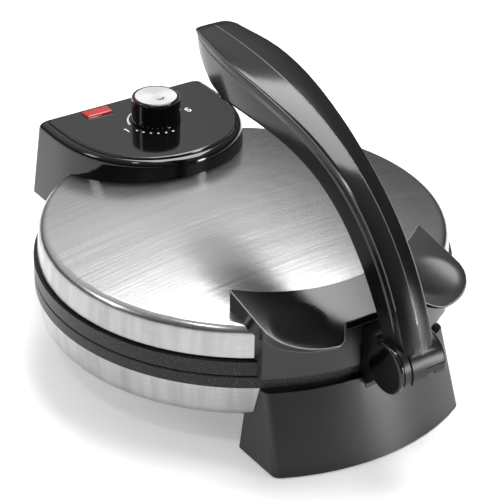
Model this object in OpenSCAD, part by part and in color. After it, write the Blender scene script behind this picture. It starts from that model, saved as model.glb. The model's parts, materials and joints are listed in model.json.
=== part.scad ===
// Electric roti maker: two heated plates in a steel pan and a steel lid,
// pressed together by a long arched lever that swings over the lid.
// Millimetres, +Z up, front towards -Y, standing on z = 0.

/* [Cooking plates] */
// Outer radius of both cast cooking plates
plate_r = 133.4; // [132.5:0.1:134]
// Height of the joint between the closed plates
split_z = 59.5; // [59:0.1:60]
// Height of the lower plate's visible ring
lower_ring_h = 8.1; // [7.5:0.1:8.5]
// Height of the upper plate's visible ring
upper_ring_h = 10; // [9.5:0.1:10.4]
// Wall thickness of the cast plates
cast_t = 4; // [3.5:0.1:4.5]

/* [Steel shells] */
// Radius of the lid cover at the top of its wall
cover_r = 130; // [129:0.1:130.5]
// Height of the lid cover's edge
cover_top_z = 91.5; // [91:0.1:92]
// Rise of the lid cover from its edge to its centre
cover_dome = 9; // [7:0.1:9.5]
// Height of the pan's floor
pan_floor_z = 28; // [27.6:0.1:28.4]
// Sheet thickness
steel_t = 1; // [0.8:0.1:1.2]

/* [Feet] */
// Half width of a foot at the table
foot_half_w = 70.2; // [69:0.1:71]
// Height of the front foot's wall
front_foot_h = 50.3; // [49.5:0.1:50.6]
// Height of the rear foot's wall
rear_foot_h = 42; // [40:0.5:43]
// Wall thickness of the feet
foot_t = 3; // [2.6:0.1:3.4]

/* [Control housing] */
// Height of the housing's top panel
panel_z = 113.3; // [112:0.1:114]
// Half width of the top panel
panel_half_w = 59; // [58.5:0.1:60]
// Slope of the housing's walls, outwards on the way down
wall_lean = 0.11; // [0.08:0.005:0.13]
// Radius of the temperature knob
knob_r = 16.4; // [16:0.1:17]
// Height of the knob's top
knob_top_z = 131.2; // [129:0.1:133]

/* [Front handle] */
// Height of the handle at its front lip
lip_z = 91.5; // [91:0.1:92]
// Rise of the handle's top for each millimetre to the rear
handle_rise = 0.22; // [0.2:0.01:0.24]

/* [Press lever] */
// Height of the lever's pivot
pivot_z = 75.3; // [75:0.1:75.6]
// Radius of the lever's hub
hub_r = 17.3; // [17:0.1:17.5]
// Half width of the lever's arm near the hub
arm_half_w = 11.1; // [10.5:0.1:11.5]
// Extra half width of the leaf-shaped grip
grip_bulge = 8.8; // [7:0.1:10]
// Radius of the lever's pin
pin_r = 4; // [3.5:0.1:4.2]

/* [Lid hinge] */
// Height of the hinge's axis
hinge_z = 60; // [59.8:0.1:60.2]
// Radius of the hinge pin
hinge_pin_r = 3; // [2.6:0.1:3.2]

/* [Hidden] */
$fn = 96;
fit = 0.15;          // gap between pieces that are fastened together
run = 0.05;          // radial gap of a pin that turns in its bore
element_r = 3.45;    // radius of the heating element's tube
element_ring_r = 87; // and of the ring that it forms
element_turn_r = 7;  // and of the turns at its ends
lead_r = 2.6;        // radius of the leads that make those turns
lead_in = 0.8;       // how far a lead reaches into the ring and into its bush
lid_y = 14.4;        // the plates' centre, so that the origin lies under the middle of the product
hinge_y = 143;       // hinge axis behind the plates' centre
pivot_y = -166.6;    // lever pivot in front of the plates' centre
knob_x = 3;          // knob's centre on the panel
knob_y = 109;
slot_half_w = 9;     // half width of the hub's slot
web_half_w = 7.3;    // half width of the bracket's web in that slot
web_front = -139.9;  // front of the web inside the foot
cover_wall_z = 70.9; // lower edge of the lid's steel wall
cover_wall_r = cover_r + 0.9;
edge_r = 6;          // rounding of the lid's edge
pan_lip_z = split_z - lower_ring_h - 0.1;
apron_r = 138;       // outer radius of the lid's front apron
apron_foot_z = 60.4;
foot_z = 0.8;        // lower edge of the plastic feet, above the rubber pads' soles
roof_z = pan_floor_z - 2.8;
housing_x = 0.9;     // the housing stands a little right of the lid's middle
deck_z = panel_z - 3.3;
shoulder_r = 4.9;    // rounding between the housing's walls and its panel
shoulder_z = panel_z - 6.4;
front_lean = 0.1;    // the front wall leans back on the way down
rear_lean = 0.04;
skirt_z = 60.4;      // lower edge of the housing's skirt

// ---- curves and helpers ----

function arc(c, r, from, to, n) = [for (i = [0:n]) let (a = from + (to - from) * i / n)
    c + r * [cos(a), sin(a)]];
function bezier(p, t) = pow(1 - t, 3) * p[0] + 3 * pow(1 - t, 2) * t * p[1]
    + 3 * (1 - t) * t * t * p[2] + pow(t, 3) * p[3];
function curve(p, n, from = 0, to = 1) = [for (i = [0:n]) bezier(p, from + (to - from) * i / n)];
function mirrored(half) = concat(half, [for (i = [len(half) - 1:-1:0]) [-half[i].x, half[i].y]]);
function at_height(outline, z) = [for (p = outline) [p.x, p.y, z]];
function flat(lists) = [for (l = lists) each l];

// A closed skin over rings of equal point count, each end closed by its own ring.
module loft(rings) {
    n = len(rings[0]);
    last = (len(rings) - 1) * n;
    sides = [for (k = [0:len(rings) - 2]) for (i = [0:n - 1]) let (a = k * n + i, b = k * n + (i + 1) % n)
        each [[a, a + n, b + n], [a, b + n, b]]];
    polyhedron(flat(rings), concat(sides, [[for (i = [0:n - 1]) i]],
        [[for (i = [n - 1:-1:0]) last + i]]), convexity = 8);
}

// Modelled round the plates' centre, then set back so that the product stands centred.
module placed() translate([0, lid_y, 0]) children();
module along_x(x, y, z) translate([x, y, z]) rotate([0, 90, 0]) children();
module along_y(x, y, z) translate([x, y, z]) rotate([-90, 0, 0]) children();
module both_sides() { children(); mirror([1, 0, 0]) children(); }

// A plate in the YZ plane with an outline of [y, z] points, centred on x = 0.
module side_plate(outline, half_w) rotate([90, 0, 90])
    linear_extrude(2 * half_w, center = true) polygon(outline);

// Pan-head screw along +Z with its head's underside at z = 0 and its tip upwards.
module screw(r, length, head_r, head_h) {
    translate([0, 0, -0.3 * head_h]) cylinder(h = length + 0.3 * head_h, r = r);
    translate([0, 0, -head_h]) difference() {
        cylinder(h = head_h, r = head_r);
        translate([0, 0, -1]) cylinder(h = 1 + head_h * 0.6, r = head_r * 0.45, $fn = 6);
    }
}

// ---- envelopes that other pieces are cut to ----

// Outside of the lid cover, grown by g, from z = low upwards.
function dome_z(r) = cover_top_z + cover_dome * (1 - pow(r / (cover_r - edge_r), 2));
function cover_outline(g) = concat(
    [[0, cover_wall_z], [cover_wall_r + g, cover_wall_z], [cover_r + g, cover_top_z - edge_r]],
    arc([cover_r - edge_r, cover_top_z - edge_r], edge_r + g, 15, 90, 5),
    [for (i = [6:-1:0]) let (r = (cover_r - edge_r) * i / 7) [r, dome_z(r) + g]]);

// Everything of the lid below the housing and the handle, grown by g.
module lid_envelope(g) {
    rotate_extrude() polygon(cover_outline(g));
    translate([0, 0, split_z - 12]) cylinder(h = cover_wall_z - split_z + 12.3, r = plate_r + 0.5 + g);
}

// Outside of the pan, grown by g, open upwards.
function pan_outline(g, top) = concat(
    [[0, pan_floor_z - g]],
    arc([plate_r - 9.9, pan_floor_z + 7], 7 + g, -90, 0, 6),
    [[plate_r - 0.2 + g, pan_lip_z], [plate_r - 0.2 + g, top], [0, top]]);

// ---- base ----

module lower_pan() color("silver") placed() difference() {
    rotate_extrude() polygon(pan_outline(0, pan_lip_z));
    rotate_extrude() polygon(concat(
        [[0, pan_floor_z + steel_t]],
        arc([plate_r - 9.9, pan_floor_z + 7], 7 - steel_t, -90, 0, 6),
        [[plate_r - 0.2 - steel_t, pan_lip_z - steel_t], [0, pan_lip_z - steel_t]]));
    translate([0, 0, pan_lip_z - steel_t - 1]) cylinder(h = 4, r = plate_r - 9);
    stud_places() cylinder(h = 2 * pan_floor_z, r = 2.7);
    foot_screw_places() cylinder(h = 40, r = 2.2);
    translate([0, 126, pan_floor_z - 5]) cylinder(h = 10, r = 5);
}

// Where the studs of the lower plate stand.
module stud_places() for (a = [30, 150, 270]) rotate(a) translate([62, 0, 0]) children();

// One plate's web, edge ring and locating skirt.
module plate_section(edge_h) rotate_extrude() union() {
    polygon(concat([[0, 0]], [[plate_r - 5, 0], [plate_r - 4.4, 1]],
        arc([plate_r - 1, 0], 1, 90, 0, 4), [[plate_r, -edge_h + 1],
        [plate_r - cast_t, -edge_h + 1], [plate_r - cast_t - 1, -cast_t], [0, -cast_t]]));
    polygon([[plate_r - 13, -cast_t], [plate_r - 9.5, -cast_t], [plate_r - 9.5, -10],
        [plate_r - 12, -10]]);
}

// The raised ring on a plate that holds its element.
module element_boss(z, h) translate([0, 0, z]) difference() {
    cylinder(h = h, r = 95);
    translate([0, 0, -1]) cylinder(h = h + 2, r = 79);
}

module lower_plate() color("#3a3a3c") placed() difference() {
    union() {
        translate([0, 0, split_z - 1.15]) plate_section(lower_ring_h - 0.2);
        element_boss(split_z - 13, 8);
        stud_places() translate([0, 0, split_z - 13]) cylinder(h = 8, r = 6);
    }
    element_groove(split_z - 12);
    stud_places() translate([0, 0, split_z - 14]) cylinder(h = 7, r = 2.5);
}

// Round tube of radius r bent to bend_r.
module element_arc(r, bend_r, angle) rotate_extrude(angle = angle)
    translate([bend_r, 0]) circle(r = r, $fn = 24);

// Places at the element's two ends, turned over for side = -1.
module element_ends(z, side) for (end = [0, 1]) mirror([end, 0, 0]) rotate(-105)
    translate([element_ring_r, 0, z]) mirror([0, 0, side < 0 ? 1 : 0]) children();

// Tubular heating element at height z: an open ring whose two leads turn away from the
// plate, upwards for side = 1 and downwards for side = -1, through bushes to the terminals.
module element(z, side) {
    translate([0, 0, z]) rotate(-75) element_arc(element_r, element_ring_r, 330);
    element_ends(z, side) translate([0, -lead_in, element_turn_r]) {
        rotate([0, 90, 0]) element_arc(lead_r, element_turn_r, 90);
        translate([0, element_turn_r, -lead_in]) cylinder(h = 3.8, r = element_r);
        translate([0, element_turn_r, 2]) cylinder(h = 6, r = 1.4);
    }
}

// Its seat in a plate.
module element_groove(z) translate([0, 0, z]) element_arc(element_r + 2 * fit, element_ring_r, 360);

module lower_element() color("dimgray") placed() element(split_z - 12, -1);

// Reflector dish with holes for the studs and the element's ends.
module shield(z, stud_r) difference() {
    translate([0, 0, z]) difference() {
        cylinder(h = 4, r = 112);
        translate([0, 0, 0.8]) cylinder(h = 4, r = 111.2);
    }
    element_ends(z - 1, 1) translate([0, element_turn_r, 0]) cylinder(h = 10, r = 6);
    stud_places() translate([0, 0, z - 1]) cylinder(h = 10, r = stud_r);
}

module lower_shield() color("lightgray") placed() shield(38.5, 2.8);

module plate_studs() color("silver") placed() stud_places()
    translate([0, 0, 23]) cylinder(h = split_z - 30.2, r = 2.4);

module stud_nuts() color("silver") placed() stud_places() translate([0, 0, 24.6]) difference() {
    cylinder(h = pan_floor_z - 24.6, r = 4.6, $fn = 6);
    translate([0, 0, -1]) cylinder(h = 8, r = 2.5);
}

// Outline of a foot seen from above: s half width, r and c radius and centre of its outer arc,
// e radius of its corners, b its inner face.
function foot_outline(s, r, c, e, b) = let (
        corner_y = c - sqrt(pow(r - e, 2) - pow(s - e, 2)),
        half = atan2(s - e, c - corner_y))
    mirrored(concat([[0, c - r]], arc([0, c], r, -90 + half / 6, -90 + half, 5),
        arc([s - e, corner_y], e, -90 + half, 0, 5), [[s, b]]));

// The wall leans in as it rises; g sets the outline of the hollow inside.
function foot_ring(z, g) = let (f = z / 50) at_height(foot_outline(
    foot_half_w - 3.2 * f - g, 148.8 - 10.8 * f - g, -6.4 + 6.4 * f, 6 - g, -100 - 4 * f - g), z);

module foot_shell(h) difference() {
    loft([foot_ring(roof_z, foot_t), foot_ring(foot_z, foot_t), foot_ring(foot_z, 0), foot_ring(h, 0)]);
    rotate_extrude() polygon(pan_outline(fit, 70));
    foot_screw_places() translate([0, 0, roof_z - 1]) cylinder(h = 10, r = 2.2);
}

// Sleeves inside a foot that take its rubber pads.
module pad_places(side) for (x = [-52, 52]) translate([x, side * 122, 0]) children();
module pad_sleeves(side) pad_places(side) difference() {
    translate([0, 0, 3.2]) cylinder(h = roof_z - 3.1, r = 5);
    translate([0, 0, 1]) cylinder(h = 12, r = 2.1);
}

module foot_screw_places() for (x = [-34, 34]) for (y = [-116, 116]) translate([x, y, 0]) children();

module front_foot() color("#2b2b2d") placed() difference() {
    union() {
        foot_shell(front_foot_h);
        pad_sleeves(-1);
    }
    front_notch();
    translate([-web_half_w - fit, web_front - fit, roof_z - 1]) cube([2 * (web_half_w + fit), 8, 40]);
    bracket_screw_places() translate([0, 0, roof_z - 1]) cylinder(h = 5, r = 1.9);
}

// The V-shaped notch through which the lever's bracket comes out.
module front_notch() translate([0, -160, 0]) rotate([90, 0, 180])
    linear_extrude(30) polygon([[-4, 45.6], [4, 45.6], [10.5, 52], [-10.5, 52]]);

module rear_foot() color("#2b2b2d") placed() difference() {
    union() {
        mirror([0, 1, 0]) foot_shell(rear_foot_h);
        pad_sleeves(1);
        along_y(34, 140, 15) cylinder(h = 13, r = 9);
    }
    translate([-28.4, 135, roof_z - 2.2]) cube([56.8, 3.4, 30]);
    for (x = [-28.4, 24]) translate([x, 135, roof_z - 2.2]) cube([4.4, 5.2, 30]);
    for (x = [-14, 14]) along_y(x, 130, 36) {
        cylinder(h = 30, r = 2.1);
        translate([0, 0, 11.4]) cylinder(h = 20, r = 4.2);
    }
    along_y(34, 130, 15) cylinder(h = 30, r = 5.6);
    translate([34 - 9, 130, 6]) cube([18, 12, 18]);
    terminal_screw_places() translate([0, 0, roof_z - 1]) cylinder(h = 5, r = 1.6);
}

module foot_screws() color("gray") placed() foot_screw_places()
    translate([0, 0, roof_z]) screw(2, 7, 4, 2.4);

module rubber_feet() color("#1a1a1a") placed() for (side = [-1, 1]) pad_places(side) {
    difference() {
        cylinder(h = 3.2, r = 7);
        translate([0, 0, -1]) cylinder(h = 2.5, r = 2.8);
    }
    translate([0, 0, 3]) cylinder(h = 8, r = 2);
}

// ---- lever bracket, on the base ----

// Side view of the web that carries the lever's pin, from the foot's hollow up to the eye.
function web_outline() = let (c = [pivot_y, pivot_z]) concat(
    [[-134.4, roof_z - 6], [-134.4, 84], [-146.5, 84], [-148.8, 79.2], [-154.6, 78]],
    arc(c, 11, 14, 300, 16),
    [c + 18 * [cos(-50), sin(-50)], [-141.6, 47.4], [web_front, 46.9], [web_front, roof_z - 6]]);

module press_bracket() color("#161617") placed() difference() {
    union() {
        side_plate(web_outline(), web_half_w);
        translate([-24, -140.4, roof_z - 6]) cube([48, 24, 5.85]);
    }
    along_x(-20, pivot_y, pivot_z) cylinder(h = 40, r = pin_r + run);
    bracket_screw_places() translate([0, 0, roof_z - 8]) cylinder(h = 10, r = 1.9);
}

module bracket_screw_places() for (x = [-19, 19]) translate([x, -124, 0]) children();

module bracket_screws() color("silver") placed() bracket_screw_places()
    translate([0, 0, roof_z - 6]) screw(1.7, 8.5, 3.4, 2);

// ---- hinge ----

module hinge_ear(x, t) difference() {
    union() {
        along_x(x, hinge_y, hinge_z) cylinder(h = t, r = 6);
        translate([x, 135.2, 24]) cube([t, 4.8, hinge_z - 24]);
    }
    along_x(x - 1, hinge_y, hinge_z) cylinder(h = t + 2, r = hinge_pin_r + run);
}

module hinge_bracket() color("silver") placed() difference() {
    union() {
        translate([-28.2, 135.2, 24]) cube([56.4, 3, 20]);
        hinge_ear(24.2, 4);
        hinge_ear(-28.2, 4);
    }
    for (x = [-14, 14]) along_y(x, 130, 36) cylinder(h = 20, r = 1.8);
}

module hinge_screws() color("silver") placed() for (x = [-14, 14])
    translate([x, 141.4, 36]) rotate([90, 0, 0]) screw(1.7, 6.1, 3.8, 2.2);

module hinge_pin() color("silver") placed() {
    along_x(-31, hinge_y, hinge_z) cylinder(h = 59.4, r = hinge_pin_r);
    along_x(28.3, hinge_y, hinge_z) cylinder(h = 2, r = 4.8);
}

module pin_clip() color("gray") placed() along_x(-29.6, hinge_y, hinge_z) difference() {
    cylinder(h = 1.2, r = 5.4);
    translate([0, 0, -1]) cylinder(h = 4, r = hinge_pin_r + 0.02);
    translate([-hinge_pin_r * 0.8, -9, -1]) cube([hinge_pin_r * 1.6, 9, 4]);
}

module hinge_leaf() color("silver") placed() difference() {
    union() {
        along_x(-23.8, hinge_y, hinge_z) cylinder(h = 47.6, r = 6);
        side_plate([[137.1, 60.5], [143, 64], [139.5, 72], [137.5, 74], [137.5, 89], [128, 89],
            [128, 72], [134.9, 71.6], [134.9, 61]], 23.8);
    }
    translate([0, 0, 50]) cylinder(h = 60, r = cover_wall_r + 0.1);
    translate([0, 0, 50]) cylinder(h = 21.3, r = plate_r + 0.7);
    along_x(-30, hinge_y, hinge_z) cylinder(h = 60, r = hinge_pin_r + run);
    leaf_screw_places() cylinder(h = 20, r = 1.8);
}

module leaf_screw_places() for (x = [-9, 9]) for (z = [75.5, 82]) along_y(x, 122, z) children();

module leaf_screws() color("silver") placed() leaf_screw_places()
    translate([0, 0, 6.2]) screw(1.7, 9, 3.4, 1.8);

// ---- electrics in the base ----

module terminal_screw_places() for (x = [-7, 7]) translate([x, 118, 0]) children();

module terminal_block() color("ivory") placed() difference() {
    translate([-19, 112, roof_z - 12]) cube([38, 12, 11.9]);
    for (x = [-14, 0, 14]) translate([x, 118, roof_z - 13]) cylinder(h = 5, r = 2.6);
    for (x = [-14, 0, 14]) along_y(x, 111, roof_z - 5) cylinder(h = 14, r = 2);
}

module cord_gland() color("#161617") placed() along_y(34, 138, 15) difference() {
    union() {
        translate([0, 0, 1.5]) cylinder(h = 14, r = 5.4);
        translate([0, 0, 15.1]) cylinder(h = 2, r = 8);
        translate([0, 0, 1.5]) cylinder(h = 2, r = 7.5);
    }
    translate([0, 0, -1]) cylinder(h = 30, r = 3.6);
}

// ---- lid ----

module lid_cover() color("silver") placed() difference() {
    rotate_extrude() polygon(cover_outline(0));
    rotate_extrude() polygon([for (p = cover_outline(-steel_t)) [p.x, max(p.y, 60)]]);
    translate([0, 0, 60]) cylinder(h = cover_wall_z - 60 + 2, r = cover_wall_r - steel_t);
    handle_screw_places() translate([0, 0, 85]) cylinder(h = 20, r = 2);
    apron_screw_places() cylinder(h = 20, r = 2);
    leaf_screw_places() cylinder(h = 20, r = 2);
    for (p = HOUSING_SCREWS) translate([p.x + housing_x, p.y, 85]) cylinder(h = 20, r = 2);
    translate([knob_x, 96, 85]) cylinder(h = 20, r = 7);
}

module upper_plate() color("#333335") placed() difference() {
    union() {
        translate([0, 0, split_z + 1.15]) mirror([0, 0, 1]) plate_section(upper_ring_h - 0.2);
        element_boss(split_z + 5, 8);
        stud_places() translate([0, 0, split_z + 5]) cylinder(h = 8, r = 6);
    }
    element_groove(split_z + 12);
    stud_places() translate([0, 0, split_z + 7]) cylinder(h = 7, r = 2.5);
}

module upper_element() color("dimgray") placed() element(split_z + 12, 1);

module upper_shield() color("lightgray") placed() translate([0, 0, 160]) mirror([0, 0, 1])
    shield(80, 2.8);

module cover_studs() color("silver") placed() stud_places() {
    translate([0, 0, split_z + 7.2]) cylinder(h = 15, r = 2.4);
    translate([0, 0, 80.1]) difference() {
        cylinder(h = 3.4, r = 4.6, $fn = 6);
        translate([0, 0, -1]) cylinder(h = 8, r = 2.4);
    }
}

// ---- front handle ----

// Half of the handle seen from above: hollow back, horn tip, straight side,
// rounded wing, and the recess in which the lever stands.
function handle_half() = concat(
    arc([0, 11.7], 121, -90, -55.6, 10),
    [[69.6, -87.4], [70.6, -88.4], [70.9, -90]],
    curve([[71.6, -121], [73.4, -139], [57, -151], [40, -153]], 9),
    curve([[38, -152.9], [32, -152.5], [29.5, -143.5], [24, -138.8]], 6),
    [[18, -139.2]]);

module handle_prism(h) linear_extrude(h) polygon(concat(handle_half(),
    [for (p = [for (i = [len(handle_half()) - 1:-1:1]) handle_half()[i]]) [-p.x, p.y]]));

module front_handle() color("#121213") placed() difference() {
    translate([0, 0, lip_z - 2.4]) handle_prism(24);
    handle_top();
    lid_envelope(fit);
    both_sides() handle_dish();
    handle_screw_places() translate([0, 0, 85]) cylinder(h = 11.5, r = 1.6);
    // the underside rises towards the thin front lip
    rotate_extrude() polygon([[apron_r + 1, 80], [apron_r + 1, lip_z - 2.4], [apron_r + 8, lip_z - 1.2],
        [200, lip_z - 1.2], [200, 80]]);
}

// Everything above the handle's sloping top.
module handle_top() translate([0, -153, lip_z]) rotate([atan(handle_rise), 0, 0])
    translate([-90, -40, 0]) cube([180, 140, 60]);

// Shallow thumb rest on a wing.
module handle_dish() translate([49, -128, lip_z + 25 * handle_rise]) rotate([atan(handle_rise), 0, 0])
    translate([0, 0, 200 - 0.9]) sphere(r = 200, $fn = 200);

module handle_screw_places() for (p = [[-53, -104], [-22, -118], [22, -118], [53, -104]])
    translate([p.x, p.y, 0]) children();

module handle_screws() color("gray") placed() handle_screw_places()
    translate([0, 0, 89.2]) screw(1.5, 6.5, 3.4, 1.8);

// Front wall of the lid below the handle, with the lever bracket's slot.
module front_apron() color("#3b3b3d") placed() difference() {
    rotate_extrude() polygon([[cover_wall_r + 0.25, cover_wall_z + 0.3], [plate_r + 0.7, cover_wall_z - 0.3],
        [plate_r + 0.7, apron_foot_z], [apron_r, apron_foot_z], [apron_r, lip_z - 2.45],
        [cover_wall_r + 0.25, lip_z - 2.45]]);
    translate([-200, -100, 40]) cube([400, 400, 80]);
    both_sides() translate([68.8, -200, 40]) cube([100, 200, 80]);
    difference() {
        translate([0, -150, 0]) rotate([90, 0, 180])
            linear_extrude(30) polygon([[-9.5, 50], [9.5, 50], [14.5, 95], [-14.5, 95]]);
        translate([0, 0, cover_wall_z - 0.3]) cylinder(h = 40, r = 133.9);
    }
    apron_screw_places() cylinder(h = 11.5, r = 1.6);
}

module apron_screw_places() for (a = [-24, -12, 12, 24]) rotate(a)
    translate([0, -125, 79]) rotate([90, 0, 0]) children();

module apron_screws() color("gray") placed() apron_screw_places()
    translate([0, 0, 3.8]) screw(1.5, 6.4, 3.2, 1.6);

// ---- control housing on the lid ----

// Half of the housing seen from above, grown by gf at its arched front, by gs at its
// sides and by gr at its rear.
function housing_half(gf, gs, gr) = concat(
    curve([[0, 57.4 - gf], [24, 57.4 - gf], [panel_half_w + gs, 68], [panel_half_w + gs, 128]], 16),
    arc([panel_half_w + gs - 5, 142.1 + gr], 5, 0, 90, 4));
function closed_ring(half, z) = at_height(concat(half,
    [for (i = [len(half) - 1:-1:1]) [-half[i].x, half[i].y]]), z);
function panel_ring(z, g) = closed_ring(housing_half(g, g, g), z);
// The walls below the shoulder: inset is measured inwards from the outer face.
function wall_ring(z, inset) = let (g = shoulder_r + 1 - inset, d = shoulder_z - z)
    closed_ring(housing_half(g - front_lean * d, g + wall_lean * d, g + rear_lean * d), z);

module housed() placed() translate([housing_x, 0, 0]) children();

module housing_body() color("#202022") housed() difference() {
    union() {
        loft(concat([panel_ring(deck_z - 2.2, 2), wall_ring(shoulder_z - 2, 2.6),
            wall_ring(skirt_z, 2.6), wall_ring(skirt_z, 0), wall_ring(shoulder_z, 0)],
            [for (a = [75:-15:0]) panel_ring(shoulder_z + shoulder_r * cos(a), 1 + shoulder_r * sin(a))],
            [panel_ring(deck_z, 0.8)]));
        for (p = HOUSING_SCREWS) translate([p.x, p.y, 88]) cylinder(h = deck_z - 89, r = 4.2);
        panel_screw_places() translate([0, 0, 74]) cylinder(h = deck_z - 75, r = 4.2);
    }
    translate([-housing_x, 0, 0]) lid_envelope(fit);
    for (p = HOUSING_SCREWS) translate([p.x, p.y, 80]) cylinder(h = 26, r = 1.6);
    panel_screw_places() translate([0, 0, 70]) {
        cylinder(h = 60, r = 1.8);
        cylinder(h = 33, r = 3.4);
    }
    translate([knob_x - housing_x, knob_y, 90]) cylinder(h = 40, r = 5);
    lamp_place() translate([-8, -3, 90]) cube([16, 6, 40]);
    translate([-28.6, 120, 50]) cube([57.2, 26, 30]);
}

HOUSING_SCREWS = [[-53.5, 101], [53.5, 101], [0, 62.5]];
module panel_screw_places() for (x = [-54, 54]) translate([x, 138, 0]) children();
module lamp_place() translate([-25 - housing_x, 138.4, 0]) children();

module housing_screws() color("gray") housed() for (p = HOUSING_SCREWS)
    translate([p.x, p.y, dome_z(norm(p)) - steel_t - 0.5]) screw(1.5, 7, 3.2, 1.6);

module panel_screws() color("gray") housed() panel_screw_places()
    translate([0, 0, 103]) screw(1.6, 8.8, 3.1, 2);

module housing_panel() color("#161617") housed() difference() {
    loft([panel_ring(deck_z + 0.1, 0.5), panel_ring(panel_z - 1.1, 0.5), panel_ring(panel_z - 0.5, 0.3),
        panel_ring(panel_z - 0.12, -0.25), panel_ring(panel_z, -0.9)]);
    translate([knob_x - housing_x, knob_y, 90]) cylinder(h = 40, r = 5);
    lamp_place() translate([-10.1, -5.1, 90]) cube([20.2, 10.2, 40]);
    panel_screw_places() translate([0, 0, deck_z - 3]) cylinder(h = 5.2, r = 1.65);
}

// Lens of the pilot lamp, with bevelled edges.
module lamp_lens() color("#d8262c") housed() lamp_place() intersection() {
    rotate([90, 0, 0]) linear_extrude(20, center = true) polygon([[-9.9, deck_z + 0.1], [9.9, deck_z + 0.1],
        [9.9, panel_z + 0.5], [8.9, panel_z + 1.6], [-8.9, panel_z + 1.6], [-9.9, panel_z + 0.5]]);
    rotate([90, 0, 90]) linear_extrude(30, center = true) polygon([[-4.9, deck_z + 0.1], [4.9, deck_z + 0.1],
        [4.9, panel_z + 0.5], [3.9, panel_z + 1.6], [-3.9, panel_z + 1.6], [-4.9, panel_z + 0.5]]);
}

module lamp_holder() color("ivory") housed() lamp_place() {
    translate([-8, -4, 98]) cube([16, 8, 8]);
    along_x(-6, 0, 107) cylinder(h = 12, r = 1.9);
}

module thermostat() color("gainsboro") placed() translate([knob_x, knob_y, 0]) difference() {
    union() {
        translate([-15, -12, 97]) cube([30, 24, 9]);
        translate([0, 0, 105]) cylinder(h = panel_z + 2.4 - 105, r = 4.7);
        translate([-10, -15, 98]) cube([20, 30, 3]);
    }
    translate([0, 0, 100]) cylinder(h = 30, r = 3 + run);
}

module thermostat_nut() color("silver") placed() translate([knob_x, knob_y, panel_z + 0.05]) difference() {
    cylinder(h = 2.1, r = 7.6, $fn = 6);
    translate([0, 0, -1]) cylinder(h = 6, r = 4.75);
}

// ---- knob ----

module knob() color("#0c0c0d") placed() translate([knob_x, knob_y, 0]) difference() {
    rotate_extrude() polygon(concat([[0, panel_z + 0.6], [knob_r + 0.2, panel_z + 0.6], [knob_r, panel_z + 1]],
        arc([knob_r - 1.6, knob_top_z - 1.3], 1.3, 0, 90, 4), [[14.3, knob_top_z],
        [14.3, knob_top_z - 1.2], [0, knob_top_z - 1.2]]));
    translate([0, 0, panel_z - 1]) cylinder(h = 5.4, r = 9);
    translate([0, 0, panel_z]) cylinder(h = 13, r = 3);
    // moulded pointer line down the front
    translate([-0.6, -knob_r - 1.6, panel_z + 3.4]) cube([1.2, 2, 16]);
}

module knob_cap() color("#c9cacc") placed() translate([knob_x, knob_y, knob_top_z - 1.2])
    rotate_extrude() polygon([[0, 0], [14.1, 0], [14.1, 0.9], [13.8, 1.15], [7, 1.4], [0, 1.5]]);

module knob_shaft() color("silver") placed() translate([knob_x, knob_y, 101])
    cylinder(h = panel_z + 12.9 - 101, r = 3);

// ---- press lever ----

// Centre line of the lever's top, tip first, as [y, z]; the underside has a rounded
// nose below the tip and then follows the top down to the hub.
TOP = [[40.8, 210.1], [-61.1, 209.6], [-156.9, 183.6], [-183.4, 72.3]];
NOSE = [[40.8, 205.4], [39, 192.5], [25, 177.6], [3, 175.6]];
UNDER = [[3, 175.6], [-86.1, 186], [-130.2, 137.9], [-158.3, 80.5]];
tip_corner = 5.5;    // rounding of the tip's corners, seen from above
tip_end = 0.03;      // share of the curves over which the tip is rounded
nose_end = 0.12;     // share of the top's curve that lies over the nose
arm_end = 0.97;      // where the arm runs into the hub

function lever_under(t) = t < nose_end ? bezier(NOSE, t / nose_end)
    : bezier(UNDER, (t - nose_end) / (1 - nose_end));
function lever_half_w(t) = arm_half_w + grip_bulge
    * exp(-pow((t - 0.17) / (t < 0.17 ? 0.14 : 0.26), 2));

// Half section: crowned top, rounded shoulder, groove, side and rounded lower edge.
// Points are [half width, depth]; the side leans in by lean towards the bottom, and the
// section shrinks where the tip is rounded off, with inset from 0 to 1.
function half_section(w, depth, crown, lean, inset) = let (
        k = min(1, depth / 26),
        pts = [[0, 0], [0.42 * w, 0.18 * crown], [0.8 * w, 0.64 * crown],
            [w - 1.4, crown * 0.93], [w - 0.35, crown + 0.5 * k], [w, crown + 1.6 * k],
            [w - 0.2 * lean, crown + 5.2 * k], [w - 0.9 - 0.2 * lean, crown + 5.7 * k],
            [w - 0.9 - 0.2 * lean, crown + 6.3 * k], [w - 0.1 - 0.3 * lean, crown + 6.8 * k],
            [w - 0.4 - 0.9 * lean, depth - 4 * k], [w - 1.3 - lean, depth - 1.5 * k],
            [w - 3.2 - lean, depth - 0.3 * k], [w * 0.4, depth], [0, depth]])
    [for (p = pts) [p.x * (1 - inset * tip_corner / w), depth / 2 + (p.y - depth / 2) * (1 - 0.7 * inset)]];

function lever_ring(t, side) = let (
        a = bezier(TOP, t), b = lever_under(t), depth = norm(b - a), dir = (b - a) / depth,
        crown = 2.2 * min(1, 0.2 + t * 2), lean = 3.3 * max(0, 1 - t / 0.24),
        end = max(0, 1 - t / tip_end), inset = 1 - sqrt(1 - end * end),
        pts = half_section(lever_half_w(t), depth, crown, lean, inset))
    [for (i = [0:len(pts) - 1]) let (p = pts[side > 0 ? len(pts) - 1 - i : i])
        [side * p.x, a.x + dir.x * p.y, a.y + dir.y * p.y]];

function lever_steps() = concat([0, 0.0008, 0.003, 0.007, 0.013, 0.02, 0.03, 0.045, 0.065, 0.09],
    [for (i = [0:24]) nose_end + (arm_end - nose_end) * i / 24]);

module lever_arm(side) loft([for (t = lever_steps()) lever_ring(t, side)]);

// Angles are measured round the pivot from the rear, over the top.
hood_from = 15;      // the hub's shell starts above the bracket's web
hood_to = 186;       // and ends low at its front
hub_bore_r = 13;
hub_right = 13.4;    // right end of the hub, before its rounding

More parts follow.
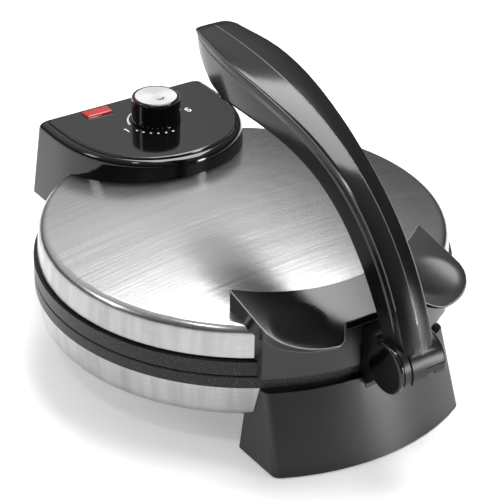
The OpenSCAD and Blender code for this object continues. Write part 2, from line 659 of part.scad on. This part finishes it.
// Space below the hub's shell, from an angle at its front round to its rear edge.
module hub_wedge(x, w, from = hood_to) translate([x, pivot_y, pivot_z]) rotate([90, 0, 90])
    linear_extrude(w) polygon(concat([[0, 0]], arc([0, 0], 40, from, 360 + hood_from, 12)));

module hub_drum(x, w, r) along_x(x, pivot_y, pivot_z) cylinder(h = w, r = r);

// Cut into the hub's face from an angle downwards; size is [width, depth, height].
module hub_nick(angle, x, size) translate([x, pivot_y, pivot_z]) rotate([angle, 0, 0])
    translate([0, hub_r - size.y, 0]) cube([size.x, size.y + 1, size.z]);

module lever_left() color("#1d1d1f") placed() difference() {
    union() {
        lever_arm(-1);
        hub_drum(-slot_half_w - 0.01, slot_half_w + 0.01, hub_r);
        hub_drum(-14, 14 - slot_half_w, hub_r - 0.9);
    }
    hub_drum(-slot_half_w, slot_half_w + 1, hub_bore_r);
    hub_wedge(-slot_half_w, slot_half_w + 1);
    difference() {
        hub_wedge(-slot_half_w - 6, 6, hood_to + 11);
        hub_drum(-slot_half_w - 7, 7, hub_bore_r - 1);
    }
    hub_drum(-30, 40, pin_r);
    translate([-30, pivot_y - 40, pivot_z - 60]) cube([30 - 13.99, 80, 78]);
    lever_screw_places() along_x(-6, 0, 0) cylinder(h = 10, r = 1.4);
}

module lever_right() color("#1d1d1f") placed() difference() {
    union() {
        lever_arm(1);
        hub_drum(0, hub_right, hub_r);
        along_x(hub_right, pivot_y, pivot_z) rotate_extrude() polygon(concat([[0, 0]],
            arc([hub_r - 3.3, 0], 3.3, 0, 90, 5), [[0, 3.3]]));
    }
    // parting line along the hub's front, and the slot below it
    hub_nick(165.7, -1, [21, 0.45, 0.8]);
    hub_nick(hood_to - 5, 1.5, [5.5, 3, 8]);
    hub_drum(-1, slot_half_w + 1, hub_bore_r);
    difference() {
        hub_wedge(-1, 30);
        hub_drum(slot_half_w, 6.5, hub_bore_r - 1);
    }
    hub_drum(-2, 15, pin_r);
    lever_screw_places() {
        along_x(-1, 0, 0) cylinder(h = 40, r = 1.8);
        along_x(5, 0, 0) cylinder(h = 40, r = 3.4);
    }
}

module lever_screw_places() for (t = [0.22, 0.45, 0.7]) let (m = (bezier(TOP, t) + 2 * lever_under(t)) / 3)
    translate([0, m.x, m.y]) children();

module lever_screws() color("gray") placed() lever_screw_places()
    along_x(5, 0, 0) mirror([0, 0, 1]) screw(1.35, 10.5, 3.1, 2);

module lever_cap() color("#0c0c0d") placed() along_x(-14, pivot_y, pivot_z) mirror([0, 0, 1])
    rotate_extrude() polygon(concat([[0, 0.02], [hub_r - 1.6, 0.02]],
        arc([hub_r - 2.8, 1.2], 1.2, 0, 90, 4), [[0, 2.6]]));

module lever_pin() color("silver") placed() hub_drum(-13.9, 26.4, pin_r);

lower_pan();
lower_plate();
lower_element();
lower_shield();
plate_studs();
stud_nuts();
front_foot();
rear_foot();
foot_screws();
rubber_feet();
press_bracket();
bracket_screws();
hinge_bracket();
hinge_screws();
hinge_pin();
pin_clip();
terminal_block();
cord_gland();
lid_cover();
upper_plate();
upper_element();
upper_shield();
cover_studs();
front_handle();
handle_screws();
front_apron();
apron_screws();
housing_body();
housing_panel();
housing_screws();
panel_screws();
lamp_lens();
lamp_holder();
thermostat();
thermostat_nut();
hinge_leaf();
leaf_screws();
knob();
knob_cap();
knob_shaft();
lever_left();
lever_right();
lever_cap();
lever_pin();
lever_screws();
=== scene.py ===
"""Looks of the electric roti maker: finishes, rounded edges, printed marks, studio and camera.

Metres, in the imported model's frame: +Z up, front towards -Y, standing on z = 0.
"""

import json
import math

import bmesh
import bpy
from mathutils import Matrix, Vector


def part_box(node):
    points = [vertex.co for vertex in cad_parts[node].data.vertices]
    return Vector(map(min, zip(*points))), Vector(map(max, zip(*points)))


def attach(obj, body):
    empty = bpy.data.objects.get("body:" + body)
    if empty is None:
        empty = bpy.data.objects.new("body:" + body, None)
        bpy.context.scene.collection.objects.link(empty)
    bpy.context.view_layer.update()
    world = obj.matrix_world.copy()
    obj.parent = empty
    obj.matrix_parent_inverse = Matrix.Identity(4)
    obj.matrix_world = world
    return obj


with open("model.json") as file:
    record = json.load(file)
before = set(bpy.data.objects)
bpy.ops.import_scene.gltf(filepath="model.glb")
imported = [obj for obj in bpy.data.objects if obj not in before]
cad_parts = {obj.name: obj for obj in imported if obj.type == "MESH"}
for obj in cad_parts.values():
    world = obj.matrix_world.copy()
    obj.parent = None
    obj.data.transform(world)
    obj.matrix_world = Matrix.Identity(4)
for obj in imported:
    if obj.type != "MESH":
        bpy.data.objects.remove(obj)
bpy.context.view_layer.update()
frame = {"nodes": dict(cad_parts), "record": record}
nodes = frame["nodes"]

MM = 0.001
lid_low, lid_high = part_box("lid_cover")
LID_CENTRE = Vector((0, (lid_low.y + lid_high.y) / 2, 0))
LID_RADIUS = (lid_high.x - lid_low.x) / 2
PANEL_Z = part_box("housing_panel")[1].z
CAP_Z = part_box("knob_cap")[1].z
knob_low, knob_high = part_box("knob")
KNOB = (knob_low + knob_high) / 2


# ---- nodes ----

def put(tree, socket, value):
    """Links value to an input where it is a socket, and otherwise sets the input to it."""
    if isinstance(value, bpy.types.NodeSocket):
        tree.links.new(value, socket)
    else:
        socket.default_value = value


def add_node(tree, kind, inputs=(), **settings):
    """A new node, where inputs is a dict by name, or a tuple of the first ones in order."""
    made = tree.nodes.new(kind)
    for setting, value in settings.items():
        setattr(made, setting, value)
    for key, value in (inputs.items() if isinstance(inputs, dict) else enumerate(inputs)):
        put(tree, made.inputs[key], value)
    return made


# ---- materials ----

FINISHES = {}
MIX_SOCKETS = {"FLOAT": (2, 0), "VECTOR": (4, 1), "RGBA": (6, 2)}


class Finish:
    """A material, kept in FINISHES by its name, with short calls for the nodes that finishes share."""

    def __init__(self, name, **sockets):
        material = bpy.data.materials.new(name)
        material.use_nodes = True
        FINISHES[name] = material
        self.tree = material.node_tree
        self.shader = self.tree.nodes["Principled BSDF"]
        self.point = self.node("TexCoord").outputs["Object"]
        for socket, value in sockets.items():
            self.set(socket.replace("_", " "), value)

    def set(self, socket, value):
        """Sets or links an input of the shader."""
        put(self.tree, self.shader.inputs[socket], value)

    def node(self, kind, inputs=(), **settings):
        return add_node(self.tree, "ShaderNode" + kind, inputs, **settings)

    def math(self, operation, a, b):
        return self.node("Math", (a, b), operation=operation).outputs[0]

    def mix(self, share, a, b, kind="FLOAT"):
        """A number, VECTOR or RGBA colour with this share of b, and the rest of a."""
        made = self.node("Mix", (share,), data_type=kind)
        first, result = MIX_SOCKETS[kind]
        put(self.tree, made.inputs[first], a)
        put(self.tree, made.inputs[first + 1], b)
        return made.outputs[result]

    def scaled(self, vector, scale):
        return self.node("VectorMath", (vector, scale), operation="MULTIPLY").outputs[0]

    def axes(self, vector):
        return self.node("SeparateXYZ", (vector,)).outputs

    def from_axis(self, centre):
        """The level way to the shaded point from the upright line through centre, and its length."""
        way = self.node("VectorMath", (self.point, tuple(centre)), operation="SUBTRACT").outputs[0]
        level_way = self.scaled(way, (1, 1, 0))
        return level_way, self.node("VectorMath", (level_way,), operation="LENGTH").outputs["Value"]

    def noise(self, vector, scale=1.0, detail=2.0, roughness=0.5):
        inputs = {"Vector": vector, "Scale": scale, "Detail": detail, "Roughness": roughness}
        return self.node("TexNoise", inputs).outputs["Fac"]

    def spread(self, value, low, high, start=0.3, end=0.7):
        """Low to high as value goes from start to end, which are a noise's usual range by default."""
        return self.node("MapRange", (value, start, end, low, high)).outputs[0]

    def shades(self, noise, dark, light):
        """A colour that a noise moves from dark to light."""
        return self.mix(self.spread(noise, 0.0, 1.0), dark, light, "RGBA")

    def bump(self, height, distance, strength=1.0):
        inputs = {"Strength": strength, "Distance": distance, "Height": height}
        return self.node("Bump", inputs).outputs["Normal"]


def grey(level, tint=0.0):
    """A grey, slightly blue where tint is above 0."""
    return (level * (1 - tint), level, level * (1 + tint), 1)


def brushed_steel():
    """Steel sheet, brushed in straight lines on the lid's top and round its walls, with painted shade
    darkening the walls in soft upright bands of painted reflection.
    """
    look = Finish("brushed_steel", Metallic=1.0, Anisotropic=0.65)
    level_way, radius = look.from_axis(LID_CENTRE)
    x, y, _ = look.axes(level_way)
    angle = look.math("ARCTAN2", y, x)
    unrolled = look.node("CombineXYZ", (angle, look.axes(look.point)[2])).outputs[0]
    wall = look.spread(radius, 0.0, 1.0, start=LID_RADIUS - 4 * MM, end=LID_RADIUS - 1 * MM)

    fine = look.noise(look.scaled(look.point, (14, 2400, 40)), detail=3.0, roughness=0.6)
    broad = look.noise(look.scaled(look.point, (6, 900, 4)))
    round_lines = look.noise(look.scaled(unrolled, (9, 2400, 0)), detail=3.0, roughness=0.6)
    streaks = look.mix(wall, look.mix(0.3, fine, broad), round_lines)
    # painted shade and painted reflection: the walls darkened in soft upright bands
    painted_reflection_bands = look.noise(look.scaled(unrolled, (16, 9, 0)), detail=3.0, roughness=0.6)
    painted_wall_shade = look.mix(wall, 1.0, look.spread(painted_reflection_bands, 0.66, 0.90))

    look.set("Base Color", look.scaled(look.shades(streaks, grey(0.42), grey(0.53)), painted_wall_shade))
    look.set("Roughness", look.spread(streaks, 0.19, 0.26))
    look.set("Normal", look.bump(streaks, 0.01 * MM, strength=0.45))
    # highlights stretch along the tangent, across the brushing
    look.set("Tangent", look.mix(wall, (0, 1, 0), (0, 0, 1), "VECTOR"))


def coated_cast():
    """Cast aluminium under a dark non-stick coat, with its fine sparkle."""
    look = Finish("coated_cast", Metallic=0.1, Specular_IOR_Level=0.3)
    pits = look.noise(look.point, scale=2600.0, detail=3.0, roughness=0.7)
    flakes = look.node("TexVoronoi", {"Vector": look.point, "Scale": 2080.0}, feature="F1")
    flake_value = look.node("SeparateColor", (flakes.outputs["Color"],)).outputs[0]
    sparkle = look.spread(flake_value, 0.0, 1.0, start=0.91, end=1.0)
    coat = look.shades(pits, grey(0.0077), grey(0.0143))
    look.set("Base Color", look.mix(sparkle, coat, grey(0.08), "RGBA"))
    look.set("Roughness", look.spread(pits, 0.32, 0.48))
    look.set("Normal", look.bump(pits, 0.05 * MM))


def plated(name, colour, roughness, tint=0.0):
    """Bright plated or drawn metal with a faint drawn grain and handling marks."""
    look = Finish(name, Metallic=1.0)
    drawn = look.noise(look.scaled(look.point, (300, 300, 2600)))
    marks = look.noise(look.point, scale=120.0, detail=4.0)
    uneven = look.mix(0.6, drawn, marks)
    look.set("Base Color", look.shades(marks, grey(colour * 0.82, tint), grey(colour, tint)))
    look.set("Roughness", look.spread(uneven, roughness * 0.75, roughness * 1.25))
    look.set("Normal", look.bump(drawn, 0.01 * MM, strength=0.4))


def plastic(name, colour, roughness, grain, depth, gloss=0.5, polish=None):
    """Moulded plastic with a fine grain and faint clouding in its colour.

    grain is the grain noise's scale, depth its height, and gloss the shader's specular level.
    polish is (low, high, factor): factor times as rough below low as above high.
    """
    look = Finish(name, Specular_IOR_Level=gloss)
    cloud = look.noise(look.point, scale=22.0, detail=4.0)
    speck = look.noise(look.point, scale=grain, detail=3.0, roughness=0.6)
    rough = look.spread(look.mix(0.4, cloud, speck), roughness * 0.86, roughness * 1.14)
    if polish:
        low, high, factor = polish
        height = look.axes(look.point)[2]
        rough = look.math("MULTIPLY", rough, look.spread(height, factor, 1.0, start=low, end=high))
    look.set("Base Color", look.shades(cloud, grey(colour * 0.75, 0.01), grey(colour * 1.25, 0.02)))
    look.set("Roughness", rough)
    look.set("Normal", look.bump(speck, depth))


def ceramic_white():
    """Glazed white ceramic with a faint speckle."""
    look = Finish("ceramic_white", Roughness=0.3)
    speck = look.noise(look.point, scale=500.0, detail=3.0)
    look.set("Base Color", look.shades(speck, (0.66, 0.64, 0.58, 1), (0.80, 0.78, 0.73, 1)))
    look.set("Normal", look.bump(speck, 0.03 * MM))


def lamp_red():
    """Translucent red lens with faint ribs and clouding."""
    look = Finish("lamp_red", Roughness=0.12, Transmission_Weight=0.35, IOR=1.49,
                  Coat_Weight=0.2, Coat_Roughness=0.03)
    ribs = look.noise(look.scaled(look.point, (60, 900, 60)), detail=1.0)
    cloud = look.noise(look.point, scale=90.0, detail=3.0)
    look.set("Base Color", look.shades(look.mix(0.7, ribs, cloud),
                                       (0.36, 0.004, 0.008, 1), (0.68, 0.02, 0.024, 1)))


def silver_disc():
    """The knob's cap: a spun silver disc with fine rings round its centre."""
    look = Finish("silver_disc", Metallic=0.6, Anisotropic=0.3)
    level_way, radius = look.from_axis(KNOB)
    rings = look.noise(look.scaled(radius, (4200, 0, 0)))
    look.set("Base Color", look.shades(rings, grey(0.54), grey(0.64)))
    look.set("Roughness", look.spread(rings, 0.34, 0.46))
    look.set("Normal", look.bump(rings, 0.01 * MM, strength=0.4))
    around = look.node("VectorMath", (level_way, (0, 0, 1)), operation="CROSS_PRODUCT").outputs[0]
    look.set("Tangent", around)


def ink(name, dark, light):
    """Silk-screened ink, a little uneven; its dark copy is the painted shade on the knob's cap."""
    look = Finish(name, Roughness=0.45)
    patches = look.noise(look.point, scale=1500.0, detail=3.0)
    look.set("Base Color", look.shades(patches, grey(dark), grey(light)))


brushed_steel()
coated_cast()
plated("element_steel", colour=0.28, roughness=0.45)
plated("bright_sheet", colour=0.72, roughness=0.28)
plated("zinc_steel", colour=0.6, roughness=0.32, tint=0.02)
plastic("matte_black", colour=0.009, roughness=0.30, grain=2200.0, depth=0.03 * MM)
plastic("gloss_black", colour=0.0025, roughness=0.085, grain=900.0, depth=0.004 * MM)
plastic("satin_black", colour=0.004, roughness=0.14, grain=1600.0, depth=0.005 * MM, gloss=0.37,
        polish=(90 * MM, 150 * MM, 2.3))
plastic("handle_black", colour=0.003, roughness=0.16, grain=1600.0, depth=0.005 * MM, gloss=0.36)
# painted highlight: a paler black that the marked rims' bevels take, for bright edge lines
plastic("painted_highlight_edge", colour=0.12, roughness=0.22, grain=1600.0, depth=0.005 * MM, gloss=1.0)
plastic("black_rubber", colour=0.012, roughness=0.75, grain=1500.0, depth=0.08 * MM)
ceramic_white()
lamp_red()
silver_disc()
ink("print_white", 0.70, 0.90)
# painted shade: a flat dark colour for the mark on the knob's cap
ink("painted_shade_black", 0.010, 0.020)


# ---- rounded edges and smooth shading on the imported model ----

WELD_WITHIN = 0.001 * MM
FLAT_WITHIN = math.radians(0.2)
SHARP_ABOVE = math.radians(32)
RIM_ABOVE = math.radians(40)
LEVER_HUB_Z = 104 * MM  # the lever's rims carry a painted highlight from here up
LEVER_TIP_Y = 48 * MM  # and from here forward


def geometry_group(name):
    """A geometry group, with the socket its mesh comes in by and the one it leaves by."""
    group = bpy.data.node_groups.new(name, "GeometryNodeTree")
    for way in ("INPUT", "OUTPUT"):
        group.interface.new_socket("Geometry", in_out=way, socket_type="NodeSocketGeometry")
    mesh_in = add_node(group, "NodeGroupInput").outputs[0]
    mesh_out = add_node(group, "NodeGroupOutput").inputs[0]
    return group, mesh_in, mesh_out


def edge_angle(group):
    return add_node(group, "GeometryNodeInputMeshEdgeAngle").outputs["Unsigned Angle"]


def smooth_by_angle():
    """A geometry group that shades smooth, and sharp at edges steeper than SHARP_ABOVE."""
    group, mesh_in, mesh_out = geometry_group("smooth_by_angle")
    bare = add_node(group, "GeometryNodeRemoveAttribute", {"Geometry": mesh_in, "Name": "custom_normal"})
    faces = add_node(group, "GeometryNodeSetShadeSmooth", (bare.outputs["Geometry"],), domain="FACE")
    slight = add_node(group, "FunctionNodeCompare", (edge_angle(group), SHARP_ABOVE),
                      data_type="FLOAT", operation="LESS_EQUAL").outputs[0]
    edges = add_node(group, "GeometryNodeSetShadeSmooth",
                     {"Geometry": faces.outputs["Geometry"], "Shade Smooth": slight}, domain="EDGE")
    put(group, mesh_out, edges.outputs["Geometry"])
    return group


def mark_rims(lowest, rearmost):
    """A geometry group that gives a bevel weight to edges steeper than RIM_ABOVE, above lowest and
    in front of rearmost."""
    group, mesh_in, mesh_out = geometry_group("mark_edges")
    place = add_node(group, "GeometryNodeInputPosition").outputs[0]
    _, y, z = add_node(group, "ShaderNodeSeparateXYZ", (place,)).outputs
    weight = 1.0
    for value, test, limit in ((edge_angle(group), "GREATER_THAN", RIM_ABOVE),
                               (z, "GREATER_THAN", lowest), (y, "LESS_THAN", rearmost)):
        passed = add_node(group, "ShaderNodeMath", (value, limit), operation=test).outputs[0]
        weight = add_node(group, "ShaderNodeMath", (weight, passed), operation="MULTIPLY").outputs[0]
    store = add_node(group, "GeometryNodeStoreNamedAttribute",
                     {"Geometry": mesh_in, "Name": "bevel_weight_edge", "Value": weight},
                     data_type="FLOAT", domain="EDGE")
    put(group, mesh_out, store.outputs[0])
    return group


def round_edges(node, width, rims):
    """Rounds a node's sharp edges, or only the ones that the group rims marks, and paints a highlight on
    those in a paler finish.
    """
    join = node.modifiers.new("join_flat_faces", "DECIMATE")
    join.decimate_type = "DISSOLVE"
    join.angle_limit = FLAT_WITHIN
    if rims:
        node.modifiers.new("mark_edges", "NODES").node_group = rims
        # painted highlight: the marked rims' bevels take the paler finish
        node.data.materials.append(FINISHES["painted_highlight_edge"])
    bevel = node.modifiers.new("round_edges", "BEVEL")
    bevel.width = width
    bevel.segments = 3
    bevel.limit_method = "WEIGHT" if rims else "ANGLE"
    bevel.angle_limit = SHARP_ABOVE
    bevel.use_clamp_overlap = not rims
    bevel.material = 1 if rims else -1


def dress(name):
    """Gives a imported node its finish, rounded edges where BEVELS says so, and smooth shading."""
    node = nodes[name]
    node.data.materials.clear()
    node.data.materials.append(FINISHES[SLOTS[name]])
    node.modifiers.new("weld", "WELD").merge_threshold = WELD_WITHIN
    if name in BEVELS:
        round_edges(node, BEVELS[name], PAINTED_HIGHLIGHT_RIMS.get(name))
    node.modifiers.new("smooth", "NODES").node_group = SMOOTH
    node.modifiers.new("keep_flats", "WEIGHTED_NORMAL").keep_sharp = True


SMOOTH = smooth_by_angle()
# rims with a painted highlight: the handle's steep edges, and the lever's between its hub and tip
handle_highlight_rims = mark_rims(lowest=0.0, rearmost=1.0)
lever_highlight_rims = mark_rims(lowest=LEVER_HUB_Z, rearmost=LEVER_TIP_Y)
PAINTED_HIGHLIGHT_RIMS = {"front_handle": handle_highlight_rims, "lever_left": lever_highlight_rims, "lever_right": lever_highlight_rims}
BEVELS = {"front_handle": 0.5 * MM, "front_foot": 0.5 * MM, "rear_foot": 0.5 * MM,
          "front_apron": 0.4 * MM, "press_bracket": 0.4 * MM, "lamp_lens": 0.4 * MM,
          "lever_left": 0.35 * MM, "lever_right": 0.35 * MM}
SLOTS = {part["node"]: part["material_slot"] for part in frame["record"]["subparts"]}
SLOTS["front_handle"] = "handle_black"  # glossier than its own slot's finish is at that height
for name in nodes:
    dress(name)


# ---- printed marks on the panel, and painted shade on the knob's cap ----

INK = 0.04 * MM
DOT_RING, DOT_RADIUS = 20.5 * MM, 0.75 * MM
DOT_ANGLES = (-160, -145.9, -131.6, -117.5, -102.9, -88.6)
CRESCENT_RING, CRESCENT_START, CRESCENT_STEP, CRESCENT_STEPS = 18.9 * MM, 108, 3.2, 20
CRESCENT_THIN, CRESCENT_SWELL = 0.25 * MM, 1.15 * MM
DIGIT_SIZE, DIGIT_LINE = 5.4 * MM, 0.85 * MM
ONE_PLACE, SIX_PLACE = (-25.0 * MM, -3.5 * MM), (26.0 * MM, 1.0 * MM)
ONE = [[(1.0, 4.7), (2.3, 6.0)], [(2.3, 6.0), (2.3, 0.0)]]
SIX = [[(3.4, 5.4), (2.5, 6.0), (1.4, 5.7), (0.7, 4.6), (0.45, 3.0), (0.5, 1.5), (1.1, 0.4), (2.1, 0.0),
        (3.1, 0.4), (3.6, 1.4), (3.5, 2.6), (2.8, 3.4), (1.9, 3.5), (1.0, 3.0), (0.5, 2.2)]]
CAP_MARK_Y = -6.2
CAP_FALL = 0.05 * MM  # from the crowned cap's middle to its mark
CAP_MARK_HALF = [(0, 0.35), (0.6, -0.35), (1.4, 0.1), (2.2, 0.9), (2.9, 1.1), (2.3, -0.6), (1.2, -1.4),
                 (0, -1.65)]


def plate_piece(name, outlines, z, finish, body):
    """Thin flat shapes: outlines of (x, y) points from the knob's centre, lying on z."""
    mesh = bmesh.new()
    for outline in outlines:
        ring = [mesh.verts.new((KNOB.x + x, KNOB.y + y, z)) for x, y in outline]
        face = mesh.faces.new(ring)
        face.normal_update()
        if face.normal.z < 0:
            face.normal_flip()
        raised = bmesh.ops.extrude_face_region(mesh, geom=[face])["geom"]
        top = [corner for corner in raised if isinstance(corner, bmesh.types.BMVert)]
        bmesh.ops.translate(mesh, vec=(0, 0, INK), verts=top)
    bmesh.ops.recalc_face_normals(mesh, faces=mesh.faces)
    data = bpy.data.meshes.new(name)
    mesh.to_mesh(data)
    mesh.free()
    piece = bpy.data.objects.new(name, data)
    bpy.context.scene.collection.objects.link(piece)
    data.materials.append(FINISHES[finish])
    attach(piece, body)


def polar(radius, degrees):
    return radius * math.cos(math.radians(degrees)), radius * math.sin(math.radians(degrees))


def disc(x, y, radius, count=20):
    return [(x + dx, y + dy) for dx, dy in (polar(radius, 360 * k / count) for k in range(count))]


def band(points, widths):
    """The outline of a line through points, as wide as widths says at each."""
    left, right = [], []
    for k, (x, y) in enumerate(points):
        before, after = points[max(k - 1, 0)], points[min(k + 1, len(points) - 1)]
        along = Vector((after[0] - before[0], after[1] - before[1])).normalized() * widths[k] / 2
        left.append((x - along.y, y + along.x))
        right.append((x + along.y, y - along.x))
    return left + right[::-1]


def crescent():
    """A swelling line round the knob's rear left, for low to high heat."""
    steps = range(CRESCENT_STEPS + 1)
    return band([polar(CRESCENT_RING, CRESCENT_START + CRESCENT_STEP * k) for k in steps],
                [CRESCENT_THIN + CRESCENT_SWELL * (k / CRESCENT_STEPS) ** 0.8 for k in steps])


def digit(strokes, place):
    """A numeral with its middle at place, from strokes of points on a grid of 4 by 6 units."""
    unit = DIGIT_SIZE / 6
    return [band([(place[0] + (x - 2) * unit, place[1] + (y - 3) * unit) for x, y in stroke],
                 [DIGIT_LINE] * len(stroke)) for stroke in strokes]


def painted_cap_shade():
    """A small dark mark of painted shade, for a small dimple's shade on the cap, the same on both sides
    of its middle.
    """
    outline = CAP_MARK_HALF + [(-x, y) for x, y in CAP_MARK_HALF[-2:0:-1]]
    return [(x * MM, (CAP_MARK_Y + y) * MM) for x, y in outline]


dots = [disc(*polar(DOT_RING, angle), DOT_RADIUS) for angle in DOT_ANGLES]
plate_piece("dial_dots", dots, PANEL_Z, "print_white", "lid")
plate_piece("dial_crescent", [crescent()], PANEL_Z, "print_white", "lid")
plate_piece("dial_numbers", digit(ONE, ONE_PLACE) + digit(SIX, SIX_PLACE), PANEL_Z, "print_white", "lid")
# painted shade: a flat dark mark on the cap where a small dimple would be shaded
plate_piece("painted_cap_shade", [painted_cap_shade()], CAP_Z - CAP_FALL, "painted_shade_black", "knob")


# ---- studio and camera ----

FLOOR_REACH = 40.0
FLOOR_GLOW = 0.26
TO_THE_BACK = (0.58, 0.81, 0.0)  # level, away from the camera
# how the room's light changes with direction: two values of a measure, and the brightness at each
BY_HEIGHT = (0.22, 0.52, 0.16, 0.85)
BY_DEPTH = (-0.7, 0.5, 0.3, 1.0)
BY_SIDE = (0.48, 0.64, 1.0, 0.35)


def pale_floor():
    """A wide floor that the camera and reflections see as white, under the object's shadow."""
    mesh = bpy.data.meshes.new("floor")
    corners = [(-FLOOR_REACH, -FLOOR_REACH, 0), (FLOOR_REACH, -FLOOR_REACH, 0),
               (FLOOR_REACH, FLOOR_REACH, 0), (-FLOOR_REACH, FLOOR_REACH, 0)]
    mesh.from_pydata(corners, [], [(0, 1, 2, 3)])
    floor = bpy.data.objects.new("floor", mesh)
    bpy.context.scene.collection.objects.link(floor)
    look = Finish("pale_floor", Roughness=0.9, Emission_Color=(1, 1, 1, 1))
    look.set("Base Color", look.mix(look.noise(look.point, scale=3.0), grey(0.87), grey(0.89), "RGBA"))
    ray = look.node("LightPath").outputs
    reflected = look.math("MAXIMUM", ray["Is Glossy Ray"], ray["Is Transmission Ray"])
    seen = look.math("MAXIMUM", ray["Is Camera Ray"], reflected)
    look.set("Emission Strength", look.math("MULTIPLY", seen, FLOOR_GLOW))
    mesh.materials.append(FINISHES["pale_floor"])


def room():
    """The room's own light: dimmer low down, on the camera's side and far to the right."""
    world = bpy.data.worlds.new("studio")
    bpy.context.scene.world = world
    world.use_nodes = True
    tree = world.node_tree
    way = add_node(tree, "ShaderNodeTexCoord").outputs["Generated"]
    x, _, z = add_node(tree, "ShaderNodeSeparateXYZ", (way,)).outputs
    depth = add_node(tree, "ShaderNodeVectorMath", (way, TO_THE_BACK), operation="DOT_PRODUCT")
    level = 1.0
    for measure, change in ((z, BY_HEIGHT), (depth.outputs["Value"], BY_DEPTH), (x, BY_SIDE)):
        share = add_node(tree, "ShaderNodeMapRange", (measure, *change)).outputs[0]
        level = add_node(tree, "ShaderNodeMath", (level, share), operation="MULTIPLY").outputs[0]
    sky = tree.nodes["Background"].inputs
    put(tree, sky["Color"], (1, 1, 1, 1))
    put(tree, sky["Strength"], level)


def soft_box(name, place, target, size, radiance, turn=0.0):
    """A rectangular lamp of a given brightness, in the unit in which white is 1."""
    light = bpy.data.lights.new(name, "AREA")
    light.shape = "RECTANGLE"
    light.size, light.size_y = size
    light.energy = math.pi * radiance * size[0] * size[1]
    lamp = bpy.data.objects.new(name, light)
    lamp.location = place
    lamp.rotation_euler = (Vector(target) - Vector(place)).to_track_quat("-Z", "Y").to_euler()
    lamp.rotation_euler.z += math.radians(turn)
    bpy.context.scene.collection.objects.link(lamp)


def camera():
    """The photograph's view, fitted to its rings: from the front left, looking down by 30 degrees."""
    right = Vector((0.8231, -0.5676, 0.0191)).normalized()
    forward = Vector((0.4978, 0.7048, -0.5055)).normalized()
    up = right.cross(forward)
    data = bpy.data.cameras.new("camera")
    data.sensor_width = 36
    data.lens = 135.71
    eye = bpy.data.objects.new("camera", data)
    eye.matrix_world = Matrix((right, up, -forward)).transposed().to_4x4()
    eye.location = (-0.5970, -0.8385, 0.6768)
    bpy.context.scene.collection.objects.link(eye)
    bpy.context.scene.camera = eye


pale_floor()
room()
soft_box("ceiling", place=(0.49, 0.28, 1.5), target=(0.49, 0.28, 0), size=(1.24, 0.94), radiance=9.4,
         turn=-100)
soft_box("left", place=(-1.38, 0.59, 0.98), target=(0, 0, 0.08), size=(0.35, 0.5), radiance=7.0)
soft_box("key", place=(-0.78, -0.43, 1.44), target=(0, 0, 0.08), size=(0.17, 0.17), radiance=28.0)
soft_box("right", place=(0.90, -1.40, 0.27), target=(0, 0, 0.06), size=(0.32, 0.5), radiance=24.0)
camera()
bpy.context.scene.view_settings.view_transform = "Standard"
